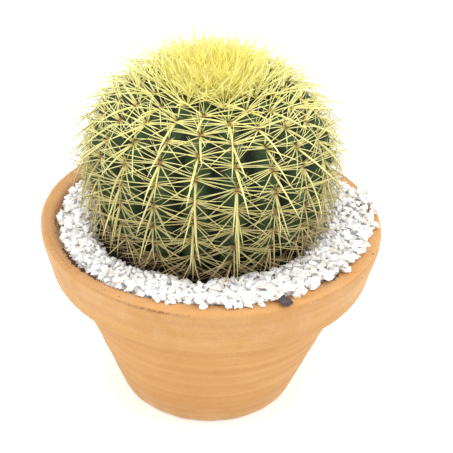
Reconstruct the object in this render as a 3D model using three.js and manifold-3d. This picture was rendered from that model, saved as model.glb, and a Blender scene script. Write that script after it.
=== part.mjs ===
// A golden barrel cactus in a terracotta half pot, dressed with white crushed stone.
// Millimetres, +Z up. The origin is the centre of the pot's flat foot, on the surface it stands on.
import * as THREE from "three";
import { mergeVertices } from "three/addons/utils/BufferGeometryUtils.js";
import Module from "manifold-3d";

const wasm = await Module();
wasm.setup();

// ---- Driving dimensions ----

// Pot: a tapered body under a deep collar, with a rounded rim and one drain hole.
const POT_HEIGHT = 160;
const RIM_RADIUS = 140;
const RIM_WIDTH = 15;
const RIM_ROUND = 5;
const COLLAR_HEIGHT = 42;
const COLLAR_FOOT_RADIUS = 131;
const BODY_TOP_RADIUS = 117;
const FOOT_RADIUS = 75;
const FOOT_CHAMFER = 2;
const WALL = 10;
const FLOOR = 12;
const DRAIN_RADIUS = 10;
const POT_SEGMENTS = 48;

// Stem: a ribbed barrel whose lower end is sunk in the soil.
const STEM_X = -4;
const RIBS = 19;
const FIRST_RIB_DEG = -96;
const STEM_RADIUS = 96.5;
const WAIST_Z = 212;
const ABOVE_WAIST = 75;
const BELOW_WAIST = 84;
const BARREL_POWER = 2.35;
const RIB_DEPTH = 15;
const STEM_ROWS = 13;
const FACETS_PER_RIB = 4;

// Spines: each rib's crest carries areoles joined by a felt ridge.
const AREOLES_PER_RIB = 8;
const LOWEST_AREOLE = -0.66;
const HIGHEST_AREOLE = 1.28;
const RIDGE_RADIUS = 1.7;
const RIDGE_OFFSET = 2.6;
const SPINE_RADIUS = 0.9;
const CENTRAL_SPINE = 31;
const RADIAL_SPINE = 23;
const SPREAD = 0.5;
const FOOT_SPACING = 1.9;
const CROWN_RADIUS = 19;
const CROWN_THICKNESS = 4;
const CROWN_SPINE = 27;
const CROWN_RINGS = [
  { radius: 3, count: 3 },
  { radius: 9, count: 9 },
  { radius: 15, count: 14 },
];

// Fillings: potting soil, with a ring of crushed stone on top.
const SOIL_TOP = 147;
const GRAVEL_INNER_RADIUS = 83;
const GRAVEL_THICKNESS = 8.5;
const GRAVEL_SEGMENTS = 60;
const GRAVEL_BUMP = 1.3;
const GAP = 0.3;

// Loose stones on the rim: where each lies round the rim, its distance out and its size.
const RIM_CHIPS = [
  { angle: -6, radius: 133, size: 4.4 },
  { angle: 4, radius: 132, size: 4.0 },
  { angle: 9, radius: 133, size: 4.6 },
  { angle: 14, radius: 129, size: 3.6 },
  { angle: -84, radius: 131, size: 4.2 },
  { angle: 19, radius: 131, size: 3.8 },
];
const CHIP_FLATNESS = 0.72;

// A flake of dark bark lying across the stones and the rim.
const FLAKE_ANGLE = -65;
const FLAKE_RADIUS = 131;
const FLAKE_SIZE = { length: 19, width: 12, thickness: 1.6 };

const COLOURS = {
  terracotta: { color: 0xe3b076, roughness: 0.9, metalness: 0 },
  soil: { color: 0x2b2523, roughness: 1, metalness: 0 },
  stone: { color: 0xf4f1ee, roughness: 0.85, metalness: 0 },
  skin: { color: 0x2f4a2c, roughness: 0.6, metalness: 0 },
  spine: { color: 0xd8d27c, roughness: 0.5, metalness: 0 },
  youngSpine: { color: 0xf6e75a, roughness: 0.5, metalness: 0 },
  bark: { color: 0x4a4248, roughness: 0.95, metalness: 0 },
};

// ---- Helpers ----

const radians = THREE.MathUtils.degToRad;

/** A repeatable source of numbers from 0 to 1. */
function randomSource(seed) {
  let state = seed;
  return () => {
    state = (state * 1664525 + 1013904223) % 4294967296;
    return state / 4294967296;
  };
}

/** Turns [radius, z] points round the Z axis. */
function turned(profile, segments) {
  const points = profile.map(([radius, z]) => new THREE.Vector2(radius, z));
  return new THREE.LatheGeometry(points, segments).rotateX(Math.PI / 2);
}

/** The geometry with only positions, and shared vertices merged. */
function merged(geometry) {
  const bare = geometry.clone();
  bare.deleteAttribute("normal");
  bare.deleteAttribute("uv");
  return mergeVertices(bare, 1e-3);
}

function toManifold(geometry) {
  const bare = merged(geometry);
  return new wasm.Manifold(
    new wasm.Mesh({
      numProp: 3,
      vertProperties: bare.attributes.position.array,
      triVerts: new Uint32Array(bare.index.array),
    }),
  );
}

function fromManifold(solid) {
  const mesh = solid.getMesh();
  const result = new THREE.BufferGeometry();
  result.setAttribute("position", new THREE.BufferAttribute(mesh.vertProperties, 3));
  result.setIndex(new THREE.BufferAttribute(mesh.triVerts, 1));
  return result;
}

/** One geometry from several that run into each other. */
function joined(geometries) {
  return fromManifold(geometries.map(toManifold).reduce((all, next) => all.add(next)));
}

function node(name, geometry, look) {
  const mesh = new THREE.Mesh(geometry, new THREE.MeshStandardMaterial(look));
  mesh.name = name;
  return mesh;
}

/** Moves every vertex of a merged copy by change(position), which edits it. */
function reshaped(geometry, change) {
  const result = merged(geometry);
  const positions = result.attributes.position;
  const point = new THREE.Vector3();
  for (let i = 0; i < positions.count; i++) {
    point.fromBufferAttribute(positions, i);
    change(point);
    positions.setXYZ(i, point.x, point.y, point.z);
  }
  return result;
}

/** A three-sided spine from one point along a direction. */
function spine(from, direction, length, radius = SPINE_RADIUS) {
  const up = new THREE.Vector3(0, 1, 0);
  const turn = new THREE.Quaternion().setFromUnitVectors(up, direction.clone().normalize());
  return new THREE.ConeGeometry(radius, length, 3)
    .translate(0, length / 2, 0)
    .applyQuaternion(turn)
    .translate(from.x, from.y, from.z);
}

// ---- Pot ----

/** The pot's inner radius at a height above the floor. */
function innerRadius(z) {
  const collarFoot = POT_HEIGHT - COLLAR_HEIGHT;
  const shoulder = [BODY_TOP_RADIUS - WALL, collarFoot];
  const [[lowRadius, lowZ], [highRadius, highZ]] =
    z < collarFoot
      ? [[FOOT_RADIUS - WALL, FLOOR], shoulder]
      : [shoulder, [RIM_RADIUS - RIM_WIDTH, POT_HEIGHT - RIM_ROUND]];
  return THREE.MathUtils.mapLinear(z, lowZ, highZ, lowRadius, highRadius);
}

/** A quarter round, as [radius, z] points, from one angle to another. */
function arc(centreRadius, centreZ, radius, fromDeg, toDeg, steps = 3) {
  return Array.from({ length: steps + 1 }, (_, i) => {
    const angle = radians(fromDeg + ((toDeg - fromDeg) * i) / steps);
    return [centreRadius + radius * Math.cos(angle), centreZ + radius * Math.sin(angle)];
  });
}

function makePot() {
  const collarFoot = POT_HEIGHT - COLLAR_HEIGHT;
  const rimZ = POT_HEIGHT - RIM_ROUND;
  const profile = [
    [DRAIN_RADIUS, 0],
    [FOOT_RADIUS - FOOT_CHAMFER, 0],
    [FOOT_RADIUS, FOOT_CHAMFER],
    [BODY_TOP_RADIUS, collarFoot],
    [COLLAR_FOOT_RADIUS, collarFoot + 2],
    ...arc(RIM_RADIUS - RIM_ROUND, rimZ, RIM_ROUND, 0, 90),
    ...arc(RIM_RADIUS - RIM_WIDTH + RIM_ROUND, rimZ, RIM_ROUND, 90, 180),
    [innerRadius(collarFoot), collarFoot],
    [innerRadius(FLOOR), FLOOR],
    [DRAIN_RADIUS, FLOOR],
    [DRAIN_RADIUS, 0],
  ];
  return node("pot", turned(profile, POT_SEGMENTS), COLOURS.terracotta);
}

// ---- Stem ----

/** The barrel's crest line at t, from -PI/2 at its lower pole to PI/2 at its crown. */
function crest(t) {
  const power = 2 / BARREL_POWER;
  const rise = Math.sin(t) > 0 ? ABOVE_WAIST : BELOW_WAIST;
  return {
    radius: STEM_RADIUS * Math.abs(Math.cos(t)) ** power,
    z: WAIST_Z + Math.sign(t) * rise * Math.abs(Math.sin(t)) ** power,
  };
}

/** A unit vector in the radius and z plane that points out of the barrel at t. */
function outwards(t) {
  const step = 0.01;
  const below = crest(t - step);
  const above = crest(t + step);
  return new THREE.Vector2(above.z - below.z, below.radius - above.radius).normalize();
}

/** The stem's outline from pole to pole, as [radius, z] points grown outwards by a margin. */
function barrelOutline(margin) {
  return Array.from({ length: STEM_ROWS + 1 }, (_, i) => {
    const t = (i / STEM_ROWS - 0.5) * Math.PI;
    const { radius, z } = crest(t);
    const out = outwards(t);
    const atPole = i === 0 || i === STEM_ROWS;
    return [atPole ? 0 : radius + margin * out.x, z + margin * out.y];
  });
}

function makeStem() {
  const ribbed = reshaped(turned(barrelOutline(0), RIBS * FACETS_PER_RIB), (point) => {
    const radius = Math.hypot(point.x, point.y);
    if (radius < 1) return;
    const phase = RIBS * (Math.atan2(point.y, point.x) - radians(FIRST_RIB_DEG));
    const depth = (RIB_DEPTH * (1 - Math.cos(phase))) / 2;
    const scale = 1 - (depth / STEM_RADIUS) * (radius / STEM_RADIUS);
    point.x *= scale;
    point.y *= scale;
  });
  return node("cactus_stem", ribbed, COLOURS.skin);
}

// ---- Spines ----

/** A line just above one rib's crest, from its lowest areole to its highest. */
function ridgeLine(ribAngle) {
  const around = new THREE.Vector3(Math.cos(ribAngle), Math.sin(ribAngle), 0);
  const points = Array.from({ length: STEM_ROWS }, (_, i) => {
    const t = THREE.MathUtils.lerp(LOWEST_AREOLE, HIGHEST_AREOLE, i / (STEM_ROWS - 1));
    const { radius, z } = crest(t);
    const out = outwards(t);
    const reach = radius + RIDGE_OFFSET * out.x;
    return around.clone().multiplyScalar(reach).setZ(z + RIDGE_OFFSET * out.y);
  });
  return new THREE.CatmullRomCurve3(points);
}

/** An areole's spines: a long central between two pairs of radials, in a line up the rib. */
function areoleSpines(below, above, height) {
  const middle = below.clone().lerp(above, 0.5);
  const up = above.clone().sub(below).normalize();
  const side = new THREE.Vector3(-middle.y, middle.x, 0).normalize();
  const out = side.clone().cross(up);
  const spread = SPREAD * Math.min(1, Math.hypot(middle.x, middle.y) / STEM_RADIUS);
  // The lowest spines stay clear of the stones; the others lean down.
  const lean = THREE.MathUtils.smoothstep(height, 0, 0.35);
  const rise = THREE.MathUtils.lerp(1.1, 0.5, lean);
  const fall = THREE.MathUtils.lerp(0.55, -0.34, lean);
  const droop = THREE.MathUtils.lerp(0.65, -0.5, lean);
  const aimed = (place, length, outShare, upShare, sideShare) => {
    const foot = middle.clone().addScaledVector(up, place * FOOT_SPACING);
    const direction = new THREE.Vector3()
      .addScaledVector(out, outShare)
      .addScaledVector(up, upShare)
      .addScaledVector(side, sideShare);
    return spine(foot, direction, length);
  };
  return [
    aimed(2, RADIAL_SPINE, 0.62, rise, spread),
    aimed(1, RADIAL_SPINE, 0.62, rise, -spread),
    aimed(0, CENTRAL_SPINE, 0.8, droop, 0),
    aimed(-1, RADIAL_SPINE, 0.6, fall, spread),
    aimed(-2, RADIAL_SPINE, 0.6, fall, -spread),
  ];
}

function makeRibSpines(index) {
  const line = ridgeLine(radians(FIRST_RIB_DEG + (360 / RIBS) * index));
  const square = [45, 135, 225, 315].map((turn) =>
    new THREE.Vector2(RIDGE_RADIUS, 0).rotateAround(new THREE.Vector2(), radians(turn)),
  );
  const ridge = new THREE.ExtrudeGeometry(new THREE.Shape(square), {
    steps: AREOLES_PER_RIB,
    extrudePath: line,
  });
  const ends = line.getSpacedPoints(AREOLES_PER_RIB);
  const spines = ends
    .slice(1)
    .flatMap((above, i) => areoleSpines(ends[i], above, i / (AREOLES_PER_RIB - 1)));
  const name = `rib_${String(index + 1).padStart(2, "0")}_spines`;
  return node(name, joined([ridge, ...spines]), COLOURS.spine);
}

/** The woolly crown with its upright tuft of young spines. */
function makeCrown() {
  const top = WAIST_Z + ABOVE_WAIST + GAP;
  const wool = new THREE.CylinderGeometry(CROWN_RADIUS * 0.8, CROWN_RADIUS, CROWN_THICKNESS, 16)
    .rotateX(Math.PI / 2)
    .translate(0, 0, top + CROWN_THICKNESS / 2);
  const tuft = CROWN_RINGS.flatMap((ring) =>
    Array.from({ length: ring.count }, (_, i) => {
      const angle = (2 * Math.PI * i) / ring.count;
      const around = new THREE.Vector3(Math.cos(angle), Math.sin(angle), 0);
      const foot = around.clone().multiplyScalar(ring.radius * 0.8).setZ(top + 1);
      const lean = around.multiplyScalar((0.5 * ring.radius) / CROWN_RADIUS).setZ(1);
      return spine(foot, lean, CROWN_SPINE);
    }),
  );
  return node("crown_spines", joined([wool, ...tuft]), COLOURS.youngSpine);
}

// ---- Soil and stones ----

/** The soil fills the pot to SOIL_TOP and is hollowed out where the stem sits in it. */
function makeSoil() {
  const nearCollar = POT_HEIGHT - COLLAR_HEIGHT;
  const wall = [FLOOR + GAP, nearCollar, SOIL_TOP].map((z) => [innerRadius(z) - 2 * GAP, z]);
  const filling = turned([[0, FLOOR + GAP], ...wall, [0, SOIL_TOP]], POT_SEGMENTS);
  const seat = turned(barrelOutline(3 * GAP), POT_SEGMENTS).translate(STEM_X, 0, 0);
  const hollowed = toManifold(filling).subtract(toManifold(seat));
  return node("potting_soil", fromManifold(hollowed), COLOURS.soil);
}

function makeGravel() {
  const random = randomSource(7);
  const base = SOIL_TOP + GAP;
  const top = base + GRAVEL_THICKNESS;
  const outer = (z) => innerRadius(z) - 3 * GAP;
  const lerp = THREE.MathUtils.lerp;
  const across = (share) => lerp(GRAVEL_INNER_RADIUS, outer(top), share);
  const profile = [
    [GRAVEL_INNER_RADIUS, base],
    [outer(base), base],
    [outer(top - 2), top - 2],
    [across(0.85), top],
    [across(0.6), top],
    [across(0.35), top - 1],
    [across(0.12), top - 4],
    [GRAVEL_INNER_RADIUS, base],
  ];
  const bumpy = reshaped(turned(profile, GRAVEL_SEGMENTS), (point) => {
    if (point.z > top - 4.5) point.z += GRAVEL_BUMP * (random() * 2 - 1);
  });
  return node("gravel_bed", bumpy, COLOURS.stone);
}

/** A crushed-stone chip: an icosahedron with its corners pushed in and out. */
function chipGeometry(size, random) {
  return reshaped(new THREE.IcosahedronGeometry(size, 0), (point) => {
    point.multiplyScalar(0.85 + 0.3 * random());
    point.z *= CHIP_FLATNESS;
  });
}

function makeRimChips() {
  const random = randomSource(23);
  return RIM_CHIPS.map(({ angle, radius, size }, i) => {
    const chip = node(`rim_chip_${i + 1}`, chipGeometry(size, random), COLOURS.stone);
    chip.geometry.computeBoundingBox();
    const rest = POT_HEIGHT + GAP - chip.geometry.boundingBox.min.z;
    const turn = radians(angle);
    chip.position.set(radius * Math.cos(turn), radius * Math.sin(turn), rest);
    return chip;
  });
}

/** A split, pointed flake, tilted up over the stones. */
function makeBarkFlake() {
  const { length, width, thickness } = FLAKE_SIZE;
  const outline = new THREE.Shape();
  outline.moveTo(-0.5 * length, 0.15 * width);
  outline.lineTo(-0.1 * length, -0.42 * width);
  outline.lineTo(0.22 * length, -0.5 * width);
  outline.lineTo(0.5 * length, -0.05 * width);
  outline.lineTo(0.3 * length, 0.38 * width);
  outline.lineTo(0.02 * length, 0.5 * width);
  outline.lineTo(-0.12 * length, 0.22 * width);
  const flake = node(
    "bark_flake",
    new THREE.ExtrudeGeometry(outline, { depth: thickness, bevelEnabled: false }),
    COLOURS.bark,
  );
  const turn = radians(FLAKE_ANGLE);
  flake.rotation.set(radians(-12), 0, turn, "ZYX");
  flake.position.set(
    FLAKE_RADIUS * Math.cos(turn),
    FLAKE_RADIUS * Math.sin(turn),
    POT_HEIGHT + FLAKE_SIZE.width * 0.12,
  );
  return flake;
}

// ---- Assembly ----

const plant = new THREE.Group();
plant.position.x = STEM_X;
plant.add(makeStem(), makeCrown());
for (let i = 0; i < RIBS; i++) plant.add(makeRibSpines(i));

const pottedCactus = new THREE.Group();
pottedCactus.add(makePot(), makeSoil(), makeGravel(), ...makeRimChips(), makeBarkFlake(), plant);

export default pottedCactus;
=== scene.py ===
"""Looks for a golden barrel cactus in a terracotta pot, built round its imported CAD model.

Lengths are in millimetres until a mesh is made, +Z is up, and angles round the pot start at +X.
"""

import math
from collections import namedtuple

import bmesh
import bpy
import numpy as np
from mathutils import Matrix, Vector, noise


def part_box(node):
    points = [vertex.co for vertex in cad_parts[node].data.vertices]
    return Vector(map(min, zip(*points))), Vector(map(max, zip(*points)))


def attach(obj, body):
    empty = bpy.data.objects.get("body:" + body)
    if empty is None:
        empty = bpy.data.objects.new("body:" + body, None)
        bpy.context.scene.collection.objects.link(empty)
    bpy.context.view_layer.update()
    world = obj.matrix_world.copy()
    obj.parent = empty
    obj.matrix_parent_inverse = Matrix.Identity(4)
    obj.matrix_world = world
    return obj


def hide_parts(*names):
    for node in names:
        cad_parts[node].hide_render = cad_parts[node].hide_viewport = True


MM = 0.001

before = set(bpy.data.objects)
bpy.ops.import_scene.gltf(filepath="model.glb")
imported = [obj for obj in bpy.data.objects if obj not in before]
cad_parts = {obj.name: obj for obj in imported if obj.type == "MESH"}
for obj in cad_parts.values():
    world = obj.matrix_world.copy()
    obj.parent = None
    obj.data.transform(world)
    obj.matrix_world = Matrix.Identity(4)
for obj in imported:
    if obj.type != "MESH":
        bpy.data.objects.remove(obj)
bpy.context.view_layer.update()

# ---- Sizes shared with the CAD model ----

POT_HEIGHT = 160
COLLAR_FOOT_Z = 118
SOIL_TOP = 147
STEM_X = -4
RIBS = 19
FIRST_RIB = math.radians(-96)
STEM_RADIUS = 96.5
WAIST_Z = 212
ABOVE_WAIST = 75
BELOW_WAIST = 84
BARREL_POWER = 2 / 2.35


# ---- Mesh helpers ----


def add_piece(name, points, faces, material, smooth=True, attributes=None, bake_map=None):
    """A mesh object from points and a list of face arrays, riding on the pot.

    attributes maps a name to one value a vertex, or to one colour a vertex.
    bake_map gives each vertex a place on a UV map named OFBake.
    """
    mesh = bpy.data.meshes.new(name)
    mesh.vertices.add(len(points))
    mesh.vertices.foreach_set("co", (np.asarray(points) * MM).astype(np.float32).ravel())
    corners = np.concatenate([group.ravel() for group in faces]).astype(np.int32)
    sizes = np.concatenate([np.full(len(group), group.shape[1]) for group in faces])
    starts = np.concatenate([[0], np.cumsum(sizes)[:-1]]).astype(np.int32)
    mesh.loops.add(len(corners))
    mesh.loops.foreach_set("vertex_index", corners)
    mesh.polygons.add(len(sizes))
    mesh.polygons.foreach_set("loop_start", starts)
    mesh.polygons.foreach_set("use_smooth", np.full(len(sizes), smooth))
    for label, values in (attributes or {}).items():
        values = np.asarray(values, np.float32)
        kind, field = ("FLOAT", "value") if values.ndim == 1 else ("FLOAT_COLOR", "color")
        mesh.attributes.new(label, kind, "POINT").data.foreach_set(field, values.ravel())
    if bake_map is not None:
        layer = mesh.uv_layers.new(name="OFBake")
        layer.uv.foreach_set("vector", np.asarray(bake_map, np.float32)[corners].ravel())
    mesh.update(calc_edges=True)
    mesh.validate()
    mesh.materials.append(material)
    piece = bpy.data.objects.new(name, mesh)
    bpy.context.scene.collection.objects.link(piece)
    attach(piece, "root")
    return piece


def ring_quads(rings, around):
    """Quads between neighbouring closed rings of vertices, facing out when the rings rise."""
    row = np.arange(rings - 1)[:, None] * around
    here = np.arange(around)
    ahead = (here + 1) % around
    quads = [row + here, row + ahead, row + around + ahead, row + around + here]
    return np.stack(quads, -1).reshape(-1, 4)


def closed_quads(rings, around):
    """As ring_quads, with the last ring joined to the first as well."""
    closing = ring_quads(2, around)
    closing = np.where(closing >= around, closing - around, closing + (rings - 1) * around)
    return np.concatenate([ring_quads(rings, around), closing])


def end_caps(rings, around):
    """The two many-sided faces that close the first and the last of some rings."""
    here = np.arange(around)
    return np.array([here[::-1], (rings - 1) * around + here])


def fan(tip, first, around):
    """Triangles from one vertex to a ring of vertices, the first of which is given."""
    here = np.arange(around)
    return np.stack([np.full(around, tip), first + here, first + (here + 1) % around], -1)


class Cluster:
    """Small shapes gathered into one piece, each with a value of its own."""

    def __init__(self):
        self.points = []
        self.faces = []
        self.values = []
        self.total = 0

    def add(self, points, *faces, value=0.0):
        self.points.append(points)
        self.faces.append([group + self.total for group in faces])
        self.values.append(np.full(len(points), value))
        self.total += len(points)

    def piece(self, name, material, label=None, smooth=False):
        """One mesh of all the shapes, with their values in the attribute called label."""
        points = np.concatenate(self.points)
        faces = [np.concatenate(groups) for groups in zip(*self.faces)]
        attributes = {label: np.concatenate(self.values)} if label else None
        return add_piece(name, points, faces, material, smooth, attributes)


def cad_place(node):
    """The middle and the size of a CAD node's box, in millimetres."""
    low, high = (np.array(corner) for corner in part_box(node))
    return (low + high) / 2 / MM, (high - low) / MM


def smoothstep(low, high, x):
    t = np.clip((np.asarray(x, float) - low) / (high - low), 0, 1)
    return t * t * (3 - 2 * t)


def fractal(points, size, octaves=3):
    """Smooth noise from about -1 to 1, with features of a given size."""
    return np.array([noise.fractal(Vector(p), 1.0, 2.0, octaves) for p in points / size])


def unit(vectors):
    return vectors / np.linalg.norm(vectors, axis=-1, keepdims=True)


def polar(radius, angle, z):
    """Points from a radius, an angle and a height."""
    radius, angle, z = np.broadcast_arrays(radius, angle, z)
    return np.stack([radius * np.cos(angle), radius * np.sin(angle), z], -1).astype(float)


def full_turn(steps):
    """Evenly spaced angles once round."""
    return np.arange(steps) * 2 * np.pi / steps


def turned(profile, segments):
    """The vertices of [radius, z] points turned round the Z axis, one ring for each point."""
    radius, z = np.asarray(profile, float).T
    return polar(radius[:, None], full_turn(segments), z[:, None])


def refined(profile, spacing):
    """The profile with extra points, so that no two are further apart than spacing."""
    result = [profile[0]]
    for start, end in zip(profile, profile[1:]):
        start, end = np.array(start, float), np.array(end, float)
        steps = max(1, math.ceil(np.linalg.norm(end - start) / spacing))
        result.extend(start + (end - start) * k / steps for k in range(1, steps + 1))
    return np.array(result)


def arc(centre, radius, start, end, steps):
    """Points on part of a circle, from a start angle to an end angle in degrees."""
    angles = np.radians(np.linspace(start, end, steps + 1))
    return [(centre[0] + radius * math.cos(a), centre[1] + radius * math.sin(a)) for a in angles]


# ---- Materials ----


class Look:
    """A material under construction. Its methods add nodes and give back a socket to pass on."""

    def __init__(self, name, roughness, **shader_values):
        self.material = bpy.data.materials.new(name)
        self.material.use_nodes = True
        self.tree = self.material.node_tree
        self.shader = self.tree.nodes["Principled BSDF"]
        self.shader.inputs["Roughness"].default_value = roughness
        for socket, value in shader_values.items():
            self.shader.inputs[socket.replace("_", " ")].default_value = value
        self.place = self.node("TexCoord").outputs["Object"]

    def node(self, kind, inputs=None, **settings):
        added = self.tree.nodes.new("ShaderNode" + kind)
        for setting, value in settings.items():
            setattr(added, setting, value)
        for socket, value in (inputs or {}).items():
            self.feed(added.inputs[socket], value)
        return added

    def feed(self, socket, value):
        if isinstance(value, bpy.types.NodeSocket):
            self.tree.links.new(value, socket)
        else:
            socket.default_value = value

    def attribute(self, name, output="Fac"):
        return self.node("Attribute", attribute_name=name).outputs[output]

    def stretched(self, x, y, z):
        """The place on the object, scaled by a different amount along each axis."""
        node = self.node("Mapping", {"Vector": self.place, "Scale": (x, y, z)})
        return node.outputs["Vector"]

    def noise(self, scale, detail=4, roughness=0.55, place=None):
        """Noise from 0 to 1 with about scale features a metre."""
        where = place or self.place
        inputs = {"Vector": where, "Scale": scale, "Detail": detail, "Roughness": roughness}
        return self.node("TexNoise", inputs).outputs["Fac"]

    def cells(self, scale):
        """The distance to the nearest of scattered points, with about scale points a metre."""
        return self.node("TexVoronoi", {"Vector": self.place, "Scale": scale}).outputs["Distance"]

    def maths(self, first, second, operation="MULTIPLY"):
        node = self.node("Math", operation=operation)
        self.feed(node.inputs[0], first)
        self.feed(node.inputs[1], second)
        return node.outputs[0]

    def spread(self, factor, low, high, new_low=0.0, new_high=1.0):
        """Maps low..high to new_low..new_high, clamped."""
        inputs = {"Value": factor, "From Min": low, "From Max": high}
        inputs.update({"To Min": new_low, "To Max": new_high})
        return self.node("MapRange", inputs).outputs["Result"]

    def mix(self, factor, first, second, blend="MIX"):
        node = self.node("Mix", data_type="RGBA", blend_type=blend)
        self.feed(node.inputs["Factor"], factor)
        self.feed(node.inputs[6], first)
        self.feed(node.inputs[7], second)
        return node.outputs[2]

    def ramp(self, factor, stops):
        """A colour from a factor, through stops of a position and three screen values."""
        node = self.node("ValToRGB", {"Fac": factor})
        elements = node.color_ramp.elements
        while len(elements) < len(stops):
            elements.new(0.5)
        for element, (position, *colour) in zip(elements, stops):
            element.position = position
            element.color = shade(*colour)
        return node.outputs["Color"]

    def bump(self, tallest, height, strength):
        """Roughens the surface. A height of 1 stands for tallest millimetres."""
        inputs = {"Height": height, "Distance": tallest * MM, "Strength": strength}
        self.feed(self.shader.inputs["Normal"], self.node("Bump", inputs).outputs["Normal"])

    def finish(self, colour):
        self.feed(self.shader.inputs["Base Color"], colour)
        return self.material


def shade(red, green, blue):
    """An opaque colour from 0-255 screen values."""

    def linear(value):
        value /= 255
        return value / 12.92 if value <= 0.04045 else ((value + 0.055) / 1.055) ** 2.4

    return (linear(red), linear(green), linear(blue), 1.0)


def terracotta_look():
    """Pale orange clay: turning rings, fine grit, dirt where the dirt attribute is high, bleaching
    at the foot and painted sheen on the collar.
    """
    look = Look("terracotta", 0.88, Sheen_Weight=0.08, Sheen_Roughness=0.6)
    clays = [(0.3, 181, 129, 60), (0.55, 188, 138, 68), (0.75, 196, 149, 82)]
    colour = look.ramp(look.noise(14, 5, 0.6), clays)
    rings = look.noise(1, 4, 0.6, look.stretched(3, 3, 160))
    colour = look.mix(look.spread(rings, 0.35, 0.7, 0, 0.75), colour, shade(170, 116, 50))
    grit = look.noise(700, 3, 0.7)
    colour = look.mix(look.spread(grit, 0.4, 0.8, 0, 0.3), colour, shade(212, 176, 132))
    flecks = look.spread(look.cells(120), 0.035, 0.07, 0.55, 0)
    colour = look.mix(flecks, colour, shade(150, 94, 52))
    rim = look.attribute("rim")
    colour = look.mix(look.maths(rim, 0.6), colour, shade(208, 152, 88))
    # Paler where the foot is bleached, and paler on the collar as painted sheen.
    bloom_and_painted_sheen = look.maths(look.attribute("bloom_and_painted_sheen"), look.spread(look.noise(60), 0.3, 0.7))
    colour = look.mix(bloom_and_painted_sheen, colour, shade(214, 190, 160))
    grains = look.spread(look.cells(330), 0.12, 0.2, 0.8, 0)
    grains = look.maths(grains, look.spread(look.noise(45, 2), 0.48, 0.6))
    colour = look.mix(look.maths(rim, grains), colour, shade(96, 58, 30))
    smears = look.spread(look.noise(900, 5, 0.8), 0.38, 0.6)
    grime = look.maths(look.attribute("dirt"), smears)
    colour = look.mix(grime, colour, shade(92, 56, 30))
    bumps = look.maths(look.maths(grit, 0.5), look.maths(rings, 0.8), "ADD")
    look.bump(0.35, bumps, 0.5)
    return look.finish(colour)


def stone_look():
    """White crushed stone. The tint attribute sets each chip apart."""
    look = Look("crushed_stone", 0.75, Subsurface_Weight=0.12, Subsurface_Scale=0.002)
    whites = [(0.0, 234, 230, 226), (0.15, 244, 242, 241), (0.6, 251, 250, 250)]
    whites += [(0.9, 251, 247, 242), (1.0, 240, 230, 216)]
    tint = look.ramp(look.attribute("tint"), whites)
    veins = look.noise(160, 6, 0.7)
    colour = look.mix(look.spread(veins, 0.6, 0.8, 0, 0.3), tint, shade(214, 208, 206))
    look.bump(0.25, look.noise(900, 4, 0.7), 0.5)
    return look.finish(colour)


def soil_look(name, dark, middle, light):
    look = Look(name, 1.0)
    crumbs = look.noise(420, 6, 0.75)
    colour = look.ramp(crumbs, [(0.3, *dark), (0.55, *middle), (0.75, *light)])
    look.bump(1.2, crumbs, 0.9)
    return look.finish(colour)


def skin_look():
    """Waxy green skin, with painted shade darkening the valleys between the ribs."""
    look = Look("cactus_skin", 0.6, Specular_IOR_Level=0.3)
    greens = [(0.3, 38, 54, 30), (0.55, 54, 78, 45), (0.8, 82, 110, 68)]
    green = look.ramp(look.noise(90, 5, 0.6), greens)
    # Painted shade: the valley attribute darkens the skin to near black between the ribs.
    dark = look.mix(look.attribute("valley"), green, shade(8, 11, 8))
    colour = look.mix(look.attribute("crown"), dark, shade(120, 140, 70))
    specks = look.spread(look.cells(700), 0.1, 0.2, 0.35, 0)
    colour = look.mix(specks, colour, shade(130, 150, 112))
    look.bump(0.3, look.noise(800, 3, 0.6), 0.3)
    return look.finish(colour)


def spine_look():
    """Horny spines. The growth attribute holds the place along each spine, its age and a tint.
    Older spines, low on the stem, are darker: partly real weathering, partly painted shade.
    """
    ages_and_painted_shade = [(0.0, 252, 240, 128), (0.12, 240, 234, 158), (0.3, 211, 205, 138)]
    ages_and_painted_shade += [(0.5, 183, 173, 116), (0.75, 160, 139, 102), (1.0, 124, 104, 84)]
    look = Look("spine", 0.34)
    parts = look.node("SeparateColor", {"Color": look.attribute("growth", "Color")}).outputs
    along, age, tint = parts["Red"], parts["Green"], parts["Blue"]
    # The ramp darkens old spines, partly as weathering and partly as painted shade.
    colour = look.ramp(age, ages_and_painted_shade)
    colour = look.mix(look.spread(tint, 0, 1, 0, 0.45), colour, shade(250, 244, 190), "SOFT_LIGHT")
    colour = look.mix(look.spread(along, 0.0, 0.07, 0.85, 0), colour, shade(178, 132, 78))
    colour = look.mix(look.spread(along, 0.82, 1.0, 0, 0.6), colour, shade(160, 132, 84))
    return look.finish(colour)


def wool_look(name, light, dark, weathered):
    """Felted wool, greyer where the age attribute is high."""
    look = Look(name, 0.95)
    strands = look.noise(1400, 3, 0.7)
    look.bump(0.3, strands, 0.6)
    colour = look.mix(look.spread(strands, 0.35, 0.65), dark, light)
    wear = look.maths(look.attribute("age"), 0.8)
    return look.finish(look.mix(wear, colour, weathered))


def bark_look():
    look = Look("bark", 0.85)
    grain = look.noise(1, 5, 0.7, look.stretched(500, 160, 160))
    look.bump(0.5, grain, 0.8)
    browns = [(0.3, 44, 36, 40), (0.55, 74, 64, 70), (0.8, 112, 98, 98)]
    return look.finish(look.ramp(grain, browns))


def straw_look():
    look = Look("straw", 0.8)
    grain = look.noise(900, 3, 0.6)
    return look.finish(look.mix(grain, shade(88, 64, 44), shade(150, 120, 84)))


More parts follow.
